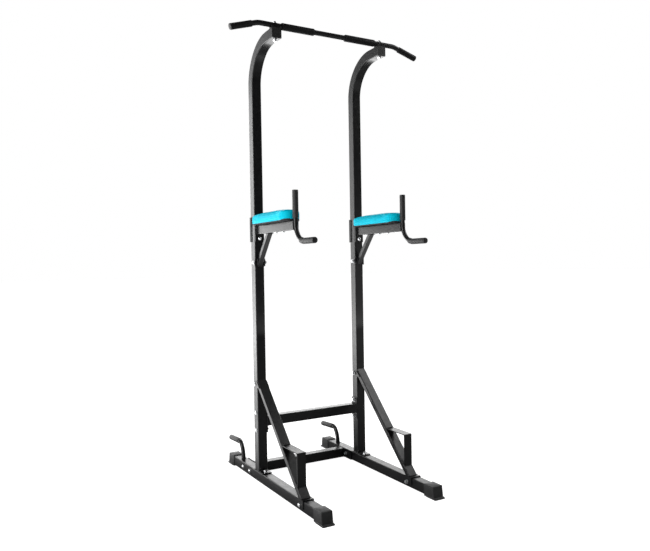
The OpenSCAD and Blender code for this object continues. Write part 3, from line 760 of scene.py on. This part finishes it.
def weld_bead(path, side, size, pitch, loop):
    """A bead along a flat line: a thin ring whose radius is size times one plus 0.13
    times sin(2 pi distance / pitch), tapering at open ends."""
    closed = np.vstack([path, path[:1]]) if loop else path
    steps = np.linalg.norm(np.diff(closed, axis=0), axis=1)
    walked = np.concatenate([[0], np.cumsum(steps)])
    count = max(8, int(walked[-1] / (pitch / 4)))
    s = np.linspace(0, walked[-1], count, endpoint=not loop)
    points = np.column_stack([np.interp(s, walked, closed[:, k]) for k in range(3)])
    radius = size * (1 + 0.13 * np.sin(2 * np.pi * s / pitch))
    if not loop:
        near = np.minimum(s, walked[-1] - s) / size
        radius = radius * np.clip(0.35 + 0.65 * near, 0.35, 1)
    return surface(carry_ring(points, side, radius, 10, loop), wrap_u=loop)


def weld_lines(x, flip):
    """Every weld of one side as (points, normal of their plane, closed or not), in mm
    from the upright's centre line; flip is -1 for the left side and 1 for the right."""
    def ring(plane, at, a0, a1, b0, b1, r):
        flat = rounded_plan(a0, a1, b0, b1, r, 6)
        third = np.full((len(flat), 1), float(at))
        a, b = flat[:, :1], flat[:, 1:]
        order = {"z": (a, b, third), "y": (a, third, b), "x": (third, a, b)}[plane]
        normal = {"z": (0, 0, 1), "y": (0, 1, 0), "x": (1, 0, 0)}[plane]
        return np.hstack(order), normal, True

    def line(start, end, normal):
        return np.linspace(start, end, 12), normal, False

    t = np.linspace(0, 2 * np.pi, 40, endpoint=False)
    handle_foot = np.column_stack([11.5 * np.cos(t), 240 + 11.5 * np.sin(t), np.full(40, 55.5)])
    lines = [
        ring("z", 60.5, -25.5, 25.5, -25.5, 25.5, 4),
        (handle_foot, (0, 0, 1), True),
        line((-21, -298.5, 256.5), (21, -298.5, 256.5), (0, 0, 1)),
        line((-21, -302.5, 251.0), (21, -302.5, 251.0), (0, 0, 1)),
        line((-21, -455.5, 98.6), (21, -455.5, 98.6), (0, 0, 1)),
        line((-23, -495.5, 59.5), (23, -495.5, 59.5), (0, 0, 1)),
        line((-23, -459.0, 59.5), (23, -459.0, 59.5), (0, 0, 1)),
        ring("y", -30.5, -15.4, 15.4, 1269.6, 1315.4, 4),
        line((-12.2, -437.5, 1272), (-12.2, -437.5, 1313), (1, 0, 0)),
        line((12.2, -437.5, 1272), (12.2, -437.5, 1313), (1, 0, 0)),
        ring("z", 1269.6, -12.8, 12.8, -166.0, -132.6, 3),
        ring("y", -29.5, -12.8, 12.8, 1109.0, 1147.0, 3),
        ring("x", -flip * 30.5, -25.4, 25.4, 285.6, 336.4, 4),
        ring("x", -flip * 30.5, 117.6, 168.4, 5.4, 55.4, 4),
    ]
    origin = np.array([x / MM, BACK / MM, 0])
    return [((points + origin) * MM, normal, loop) for points, normal, loop in lines]


class TOWER_OT_welds(bpy.types.Operator):
    """Lay weld beads where plates, tubes and handles are joined"""
    bl_idname = "tower.welds"
    bl_label = "Weld beads"

    def execute(self, context):
        sizes = context.scene.tower_sizes
        for side, flip in zip(SIDES, (-1, 1)):
            parts = [weld_bead(points, normal, sizes.weld_size, sizes.weld_pitch, loop)
                     for points, normal, loop in weld_lines(UPRIGHT[side][0], flip)]
            dress(make_piece("weld_beads_" + side, parts, 80), "frame")
        return {"FINISHED"}


def cushion_blank(x, y_back, y_front, z0, z1, half, corner):
    """The pad before it is stuffed: its plan stacked along Z with rounded upper and
    lower edges; the front corners are wide and the back ones tight."""
    def plan(inset):
        r_front, r_back = corner - inset, 0.012
        a = np.linspace(0, np.pi / 2, 14)
        w = half - inset
        yf, yb = y_front + inset, y_back - inset
        right_back = np.stack([w - r_back + r_back * np.cos(a), yb - r_back + r_back * np.sin(a)], -1)
        left_back = np.stack([-w + r_back - r_back * np.sin(a), yb - r_back + r_back * np.cos(a)], -1)
        left_front = np.stack([-w + r_front - r_front * np.cos(a),
                               yf + r_front - r_front * np.sin(a)], -1)
        right_front = np.stack([w - r_front + r_front * np.sin(a),
                                yf + r_front - r_front * np.cos(a)], -1)
        ring = np.vstack([right_back, left_back, left_front, right_front])
        ring[:, 0] += x
        return ring

    levels = [(z0, 0.006), (z0 + 0.0006, 0.0025), (z0 + 0.003, 0.0006), (z0 + 0.008, 0.0),
              (z1 - 0.012, 0.0), (z1 - 0.007, 0.0012), (z1 - 0.003, 0.004),
              (z1 - 0.0008, 0.009), (z1, 0.016)]
    return surface(np.stack([np.column_stack([plan(i), np.full(56, z)]) for z, i in levels]))


def stuffed(blank, floor_z, most):
    """The blank remeshed, blown up by cloth pressure with its underside pinned, and
    every point's move held below the given distance."""
    scene = bpy.context.scene
    remesh = blank.modifiers.new("remesh", "REMESH")
    remesh.mode = "VOXEL"
    remesh.voxel_size = 0.0045
    remesh.use_smooth_shade = True
    graph = bpy.context.evaluated_depsgraph_get()
    mesh = bpy.data.meshes.new_from_object(blank.evaluated_get(graph))
    blank.modifiers.clear()
    blank.data = mesh
    rest = np.empty(len(mesh.vertices) * 3)
    mesh.vertices.foreach_get("co", rest)
    rest = rest.reshape(-1, 3)
    held = np.flatnonzero(rest[:, 2] < floor_z + 0.007)
    group = blank.vertex_groups.new(name="held")
    group.add(held.tolist(), 1.0, "REPLACE")
    cloth = blank.modifiers.new("skin", "CLOTH")
    rules = cloth.settings
    rules.quality = 6
    rules.mass = 0.25
    rules.tension_stiffness = 18
    rules.compression_stiffness = 18
    rules.shear_stiffness = 6
    rules.bending_stiffness = 1.5
    rules.use_pressure = True
    rules.uniform_pressure_force = 4.0
    rules.vertex_group_mass = "held"
    rules.effector_weights.gravity = 0
    cloth.collision_settings.use_collision = False
    cloth.point_cache.frame_start = 1
    cloth.point_cache.frame_end = 20
    for number in range(1, 21):
        scene.frame_set(number)
    graph = bpy.context.evaluated_depsgraph_get()
    blown = blank.evaluated_get(graph).to_mesh()
    after = np.empty(len(blown.vertices) * 3)
    blown.vertices.foreach_get("co", after)
    after = after.reshape(-1, 3)
    move = after - rest
    length = np.linalg.norm(move, axis=1, keepdims=True)
    move *= np.minimum(1, most / np.maximum(length, 1e-9))
    blank.modifiers.clear()
    blank.vertex_groups.clear()
    scene.frame_set(1)
    mesh.vertices.foreach_set("co", (rest + move).ravel())
    mesh.update()


class TOWER_OT_arm_pads(bpy.types.Operator):
    """Stuff and cover the two arm pads"""
    bl_idname = "tower.arm_pads"
    bl_label = "Arm pads"

    def execute(self, context):
        most = context.scene.tower_sizes.pad_swell
        low, high = corners_of("arm_pad_left")
        base = low[2] - 0.0072
        blank = make_piece("arm_cushion_left", [cushion_blank(
            (low[0] + high[0]) / 2, high[1] - 0.002, low[1] + 0.003, base, high[2] - 0.003,
            (high[0] - low[0]) / 2 - 0.002, 0.045)])
        stuffed(blank, base, most)
        blank.data.polygons.foreach_set("use_smooth", np.ones(len(blank.data.polygons), dtype=bool))
        twin = bpy.data.objects.new("arm_cushion_right", blank.data.copy())
        twin.data.name = "arm_cushion_right"
        context.scene.collection.objects.link(twin)
        shift = middle("arm_pad_right")[0] - middle("arm_pad_left")[0]
        twin.data.transform(Matrix.Translation((shift, 0, 0)))
        for piece, side in ((blank, "left"), (twin, "right")):
            smooth = piece.modifiers.new("skin", "SUBSURF")
            smooth.levels = smooth.render_levels = 1
            dress(piece, "pad_vinyl", "arm_pad_" + side)
        return {"FINISHED"}


class TOWER_OT_finishes(bpy.types.Operator):
    """Coat the frame and plate the bolts"""
    bl_idname = "tower.finishes"
    bl_label = "Frame finishes"

    def execute(self, context):
        for part in frame["record"]["subparts"]:
            node = frame["nodes"][part["node"]]
            mesh = node.data
            if not mesh.materials:
                mesh.materials.append(None)
            kind = "clamp" if part["node"].startswith("arm_clamp") else part["material_slot"]
            for k in range(len(mesh.materials)):
                node.material_slots[k].material = finish(kind)
        return {"FINISHED"}


def soft_light(name, place, aim, width, height, power):
    """A rectangular studio light that the camera doesn't see, turned to face a point."""
    lamp = bpy.data.lights.new(name, "AREA")
    lamp.shape = "RECTANGLE"
    lamp.size, lamp.size_y = width, height
    lamp.energy = power
    light = bpy.data.objects.new(name, lamp)
    place, aim = np.array(place, dtype=float), np.array(aim, dtype=float)
    back = unit(place - aim)
    right = unit(np.cross((0, 0, 1), back))
    up = np.cross(back, right)
    turn = np.eye(4)
    turn[:3, 0], turn[:3, 1], turn[:3, 2], turn[:3, 3] = right, up, back, place
    light.matrix_world = Matrix(turn.tolist())
    light.visible_camera = False
    bpy.context.scene.collection.objects.link(light)
    return light


def studio_world():
    """A white room seen by the camera; for light and reflections it is bright in one
    direction behind the tower, plain round it and dim on the camera's side."""
    world = bpy.data.worlds.new("studio")
    bpy.context.scene.world = world
    world.use_nodes = True
    tree = world.node_tree
    tree.nodes.clear()
    link = tree.links.new
    coords = tree.nodes.new("ShaderNodeTexCoord")
    toward = tree.nodes.new("ShaderNodeVectorMath")
    toward.operation = "DOT_PRODUCT"
    toward.inputs[1].default_value = (0.2, 0.95, -0.2)
    link(coords.outputs["Generated"], toward.inputs[0])
    steps = []
    for ends in ((-0.7, 0.1, 0.05, 0.28), (0.62, 0.88, 0.0, 3.6)):
        ramp = tree.nodes.new("ShaderNodeMapRange")
        ramp.interpolation_type = "SMOOTHSTEP"
        for key, number in zip(("From Min", "From Max", "To Min", "To Max"), ends):
            ramp.inputs[key].default_value = number
        link(toward.outputs["Value"], ramp.inputs["Value"])
        steps.append(ramp.outputs["Result"])
    both = tree.nodes.new("ShaderNodeMath")
    link(steps[0], both.inputs[0])
    link(steps[1], both.inputs[1])
    room = tree.nodes.new("ShaderNodeBackground")
    link(both.outputs[0], room.inputs["Strength"])
    seen = tree.nodes.new("ShaderNodeBackground")
    seen.inputs["Strength"].default_value = 1.0
    for node in (room, seen):
        node.inputs["Color"].default_value = (1, 1, 1, 1)
    rays = tree.nodes.new("ShaderNodeLightPath")
    mix = tree.nodes.new("ShaderNodeMixShader")
    link(rays.outputs["Is Camera Ray"], mix.inputs[0])
    link(room.outputs[0], mix.inputs[1])
    link(seen.outputs[0], mix.inputs[2])
    out = tree.nodes.new("ShaderNodeOutputWorld")
    link(mix.outputs[0], out.inputs["Surface"])


class TOWER_OT_stage(bpy.types.Operator):
    """Set up the pale floor, the soft lights and the camera"""
    bl_idname = "tower.stage"
    bl_label = "Studio"

    def execute(self, context):
        scene = context.scene
        studio_floor("studio_floor", 60, 0.0, studio_paper("white_paper", 0.60, 0.93), True)
        studio_floor("studio_bounce", 9, -MM,
                     bounce_glow(studio_paper("grey_paper", 0.40, 0.0)), False)
        studio_world()
        soft_light("back_left_strip", (-1.7, 5.0, 1.6), (-0.5, 0.2, 1.2), 1.8, 3.4, 60)
        soft_light("left_key", (-4.2, -0.6, 2.2), (0, 0.1, 1.1), 2.0, 2.6, 170)
        soft_light("under_arm_card", (0.25, -0.18, 0.75), (0.25, -0.17, 1.6), 1.0, 0.36, 2.2)
        soft_light("front_right_card", (1.95, -2.1, 0.85), (0.3, 0.0, 0.85), 1.1, 1.7, 5)
        soft_light("right_top", (2.3, -0.8, 3.2), (0.3, -0.2, 0.3), 1.6, 1.6, 40)
        scene.view_settings.view_transform = "Standard"
        lens = bpy.data.cameras.new("studio_camera")
        lens.sensor_fit = "HORIZONTAL"
        lens.sensor_width = 36.0
        lens.lens = 36.235
        camera = bpy.data.objects.new("studio_camera", lens)
        a, e, r = (math.radians(v) for v in (-29.44, 0.927, -0.942))
        back = np.array([math.sin(a) * math.cos(e), -math.cos(a) * math.cos(e), math.sin(e)])
        level = np.array([math.cos(a), math.sin(a), 0.0])
        up = np.cross(back, level)
        turn = np.eye(4)
        turn[:3, 0] = math.cos(r) * level + math.sin(r) * up
        turn[:3, 1] = -math.sin(r) * level + math.cos(r) * up
        turn[:3, 2] = back
        turn[:3, 3] = (-1.6528, -3.0976 + BACK, 1.1095)
        camera.matrix_world = Matrix(turn.tolist())
        scene.collection.objects.link(camera)
        scene.camera = camera
        return {"FINISHED"}


class TOWER_PT_panel(bpy.types.Panel):
    """Sizes, colours and makers of the power tower"""
    bl_label = "Power tower"
    bl_idname = "TOWER_PT_panel"
    bl_space_type = "VIEW_3D"
    bl_region_type = "UI"
    bl_category = "Tower"

    def draw(self, context):
        for group in (context.scene.tower_sizes, context.scene.tower_looks):
            box = self.layout.box()
            for key in group.__annotations__:
                box.prop(group, key)
        for maker in MAKERS:
            self.layout.operator(maker.bl_idname)


MAKERS = (TOWER_OT_stage, TOWER_OT_finishes, TOWER_OT_pull_up_bar, TOWER_OT_rear_handles,
          TOWER_OT_grips, TOWER_OT_end_caps, TOWER_OT_feet, TOWER_OT_welds, TOWER_OT_arm_pads)


def register():
    """Adds the settings, makers and panel to Blender."""
    for cls in (TowerSizes, TowerLooks, *MAKERS, TOWER_PT_panel):
        bpy.utils.register_class(cls)
    bpy.types.Scene.tower_sizes = PointerProperty(type=TowerSizes)
    bpy.types.Scene.tower_looks = PointerProperty(type=TowerLooks)


def unregister():
    """Takes them away again."""
    del bpy.types.Scene.tower_sizes
    del bpy.types.Scene.tower_looks
    for cls in reversed((TowerSizes, TowerLooks, *MAKERS, TOWER_PT_panel)):
        bpy.utils.unregister_class(cls)


def main():
    """Makes every piece in order."""
    register()
    tower = bpy.ops.tower
    tower.stage()
    tower.finishes()
    tower.pull_up_bar()
    tower.rear_handles()
    tower.grips()
    tower.end_caps()
    tower.feet()
    tower.welds()
    tower.arm_pads()


if __name__ == "__main__":
    main()
